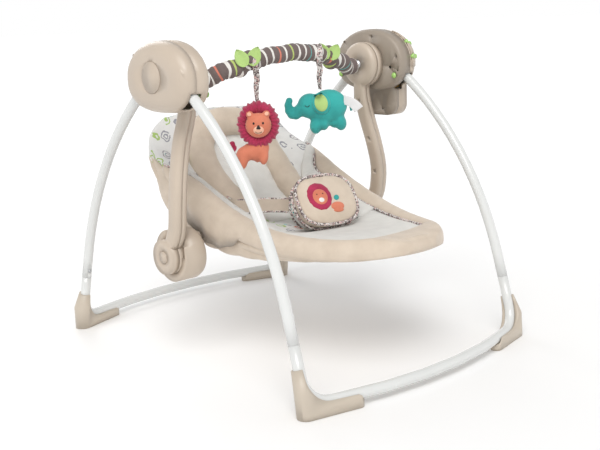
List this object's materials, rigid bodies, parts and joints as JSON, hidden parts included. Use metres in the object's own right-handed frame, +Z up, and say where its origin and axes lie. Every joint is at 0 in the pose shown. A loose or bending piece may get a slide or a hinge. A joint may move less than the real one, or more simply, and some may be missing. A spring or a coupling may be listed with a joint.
{
  "type": "baby swing",
  "caption": "Portable baby swing: tube stand with two housings, curved swing arms, reclining padded seat with harness, and a toy bar with hanging plush toys.",
  "frame": {"origin": "on the floor, in the middle of the stand under the swing axis", "axes": "+Z up, -Y the way the seat faces, +X towards the housing that holds the drive"},
  "size_m": [0.5847, 0.7914, 0.582],
  "materials": {
    "housing_plastic": "satin moulded polypropylene, warm beige",
    "dark_plastic": "satin glass-filled nylon",
    "white_tube": "gloss white powder coat",
    "steel": "bright zinc plated",
    "green_plastic": "soft lime green, gloss",
    "brass_gear": "machined",
    "ivory_plastic": "natural acetal",
    "board": "solder mask over glass-epoxy laminate",
    "cell_jacket": "shrink-wrapped dry cells",
    "beige_fabric": "brushed velour, padded",
    "print_fabric": "soft white jersey with small prints",
    "webbing": "woven polyester webbing",
    "sleeve_fabric": "striped knitted cotton, gathered",
    "lion_plush": "plush and felt",
    "elephant_plush": "short teal plush"
  },
  "bodies": {
    "housings": {"left_housing_outer": "housing_plastic", "left_housing_inner": "housing_plastic", "left_cover_disc": "housing_plastic", "right_housing_outer": "housing_plastic", "right_housing_inner": "housing_plastic", "control_panel": "housing_plastic", "battery_door": "housing_plastic", "batteries": "cell_jacket", "battery_contacts": "steel", "circuit_board": "board", "speaker": "dark_plastic", "drive_motor": "steel", "gear_axle": "steel", "shaft_bushes": "ivory_plastic", "leg_pivot_pins": "steel", "housing_screws": "steel"},
    "front_legs": {"front_left_leg": "white_tube", "front_right_leg": "white_tube", "front_base_tube": "white_tube", "front_feet": "housing_plastic", "front_leg_knuckles": "dark_plastic"},
    "rear_legs": {"rear_left_leg": "white_tube", "rear_right_leg": "white_tube", "rear_base_tube": "white_tube", "rear_feet": "housing_plastic", "rear_leg_knuckles": "dark_plastic"},
    "swing_arms": {"swing_shafts": "steel", "drive_lever": "ivory_plastic", "left_arm_outer": "housing_plastic", "left_arm_inner": "housing_plastic", "right_arm_outer": "housing_plastic", "right_arm_inner": "housing_plastic", "arm_screws": "steel"},
    "seat": {"left_recline_hub": "housing_plastic", "right_recline_hub": "housing_plastic", "seat_frame": "steel", "seat_cover": "beige_fabric", "body_insert": "print_fabric", "harness": "webbing", "lap_pad": "beige_fabric"},
    "toy_bar": {"toy_bar_tube": "steel", "toy_bar_sleeve": "sleeve_fabric"},
    "lion": {"lion_toy": "lion_plush"},
    "elephant": {"elephant_toy": "elephant_plush"},
    "drive_gear_body": {"drive_gear": "ivory_plastic"},
    "motor_worm_body": {"motor_worm": "brass_gear"},
    "left_front_release_body": {"left_front_release": "green_plastic"},
    "left_rear_release_body": {"left_rear_release": "green_plastic"},
    "right_front_release_body": {"right_front_release": "green_plastic"},
    "right_rear_release_body": {"right_rear_release": "green_plastic"},
    "left_recline_button_body": {"left_recline_button": "housing_plastic"},
    "right_recline_button_body": {"right_recline_button": "housing_plastic"},
    "power_button_body": {"power_button": "green_plastic"},
    "timer_button_body": {"timer_button": "green_plastic"},
    "melody_button_body": {"melody_button": "green_plastic"},
    "volume_button_body": {"volume_button": "green_plastic"},
    "front_left_snap_body": {"front_left_snap": "steel"},
    "front_right_snap_body": {"front_right_snap": "steel"},
    "rear_left_snap_body": {"rear_left_snap": "steel"},
    "rear_right_snap_body": {"rear_right_snap": "steel"}
  },
  "joints": [
    {"name": "front_legs_fold", "type": "hinge", "parent": "housings", "child": "front_legs", "pos_m": [0, -0.03, 0.523], "axis": [1, 0, 0], "range_deg": [0, 20]},
    {"name": "rear_legs_fold", "type": "hinge", "parent": "housings", "child": "rear_legs", "pos_m": [0, 0.03, 0.523], "axis": [1, 0, 0], "range_deg": [-20, 0]},
    {"name": "swing", "type": "hinge", "parent": "housings", "child": "swing_arms", "pos_m": [0, 0, 0.513], "axis": [1, 0, 0], "range_deg": [-15, 15]},
    {"name": "seat_recline", "type": "hinge", "parent": "swing_arms", "child": "seat", "pos_m": [0, 0.03, 0.198], "axis": [1, 0, 0], "range_deg": [0, 12]},
    {"name": "toy_bar_tilt", "type": "hinge", "parent": "swing_arms", "child": "toy_bar", "pos_m": [0, 0, 0.513], "axis": [1, 0, 0], "range_deg": [-40, 20]},
    {"name": "lion_hang", "type": "hinge", "parent": "toy_bar", "child": "lion", "pos_m": [-0.088, -0.033, 0.536], "axis": [1, 0, 0], "range_deg": [-25, 25]},
    {"name": "elephant_hang", "type": "hinge", "parent": "toy_bar", "child": "elephant", "pos_m": [0.066, -0.036, 0.541], "axis": [1, 0, 0], "range_deg": [-25, 25]},
    {"name": "left_front_release_press", "type": "slide", "parent": "housings", "child": "left_front_release_body", "axis": [-1, 0, 0], "range_m": [0, 0.0025], "stiffness_N_per_m": 600},
    {"name": "left_rear_release_press", "type": "slide", "parent": "housings", "child": "left_rear_release_body", "axis": [-1, 0, 0], "range_m": [0, 0.0025], "stiffness_N_per_m": 600},
    {"name": "left_recline_press", "type": "slide", "parent": "swing_arms", "child": "left_recline_button_body", "axis": [1, 0, 0], "range_m": [0, 0.0018], "stiffness_N_per_m": 600},
    {"name": "right_front_release_press", "type": "slide", "parent": "housings", "child": "right_front_release_body", "axis": [1, 0, 0], "range_m": [0, 0.0025], "stiffness_N_per_m": 600},
    {"name": "right_rear_release_press", "type": "slide", "parent": "housings", "child": "right_rear_release_body", "axis": [1, 0, 0], "range_m": [0, 0.0025], "stiffness_N_per_m": 600},
    {"name": "right_recline_press", "type": "slide", "parent": "swing_arms", "child": "right_recline_button_body", "axis": [-1, 0, 0], "range_m": [0, 0.0018], "stiffness_N_per_m": 600},
    {"name": "drive_gear_spin", "type": "hinge", "parent": "housings", "child": "drive_gear_body", "pos_m": [0.258, 0, 0.548], "axis": [1, 0, 0], "continuous": true},
    {"name": "motor_spin", "type": "hinge", "parent": "housings", "child": "motor_worm_body", "pos_m": [0.258, 0, 0.56435], "axis": [0, 1, 0], "continuous": true},
    {"name": "front_left_snap_press", "type": "slide", "parent": "front_legs", "child": "front_left_snap_body", "axis": [0, -0.9641, 0.2656], "range_m": [0, 0.003], "stiffness_N_per_m": 400},
    {"name": "front_right_snap_press", "type": "slide", "parent": "front_legs", "child": "front_right_snap_body", "axis": [0, -0.9641, 0.2656], "range_m": [0, 0.003], "stiffness_N_per_m": 400},
    {"name": "rear_left_snap_press", "type": "slide", "parent": "rear_legs", "child": "rear_left_snap_body", "axis": [0, 0.9641, 0.2656], "range_m": [0, 0.003], "stiffness_N_per_m": 400},
    {"name": "rear_right_snap_press", "type": "slide", "parent": "rear_legs", "child": "rear_right_snap_body", "axis": [0, 0.9641, 0.2656], "range_m": [0, 0.003], "stiffness_N_per_m": 400},
    {"name": "power_press", "type": "slide", "parent": "housings", "child": "power_button_body", "axis": [-0.5796, 0.7981, -0.1643], "range_m": [0, 0.0015], "stiffness_N_per_m": 500},
    {"name": "melody_press", "type": "slide", "parent": "housings", "child": "melody_button_body", "axis": [-0.5418, 0.6111, -0.5771], "range_m": [0, 0.0015], "stiffness_N_per_m": 500},
    {"name": "timer_press", "type": "slide", "parent": "housings", "child": "timer_button_body", "axis": [-0.9875, 0.1543, -0.0318], "range_m": [0, 0.0015], "stiffness_N_per_m": 500},
    {"name": "volume_press", "type": "slide", "parent": "housings", "child": "volume_button_body", "axis": [-0.9849, 0.1261, -0.1191], "range_m": [0, 0.0015], "stiffness_N_per_m": 500}
  ],
  "couplings": [
    {"joint": "motor_spin", "follows": "drive_gear_spin", "ratio": 24}
  ]
}
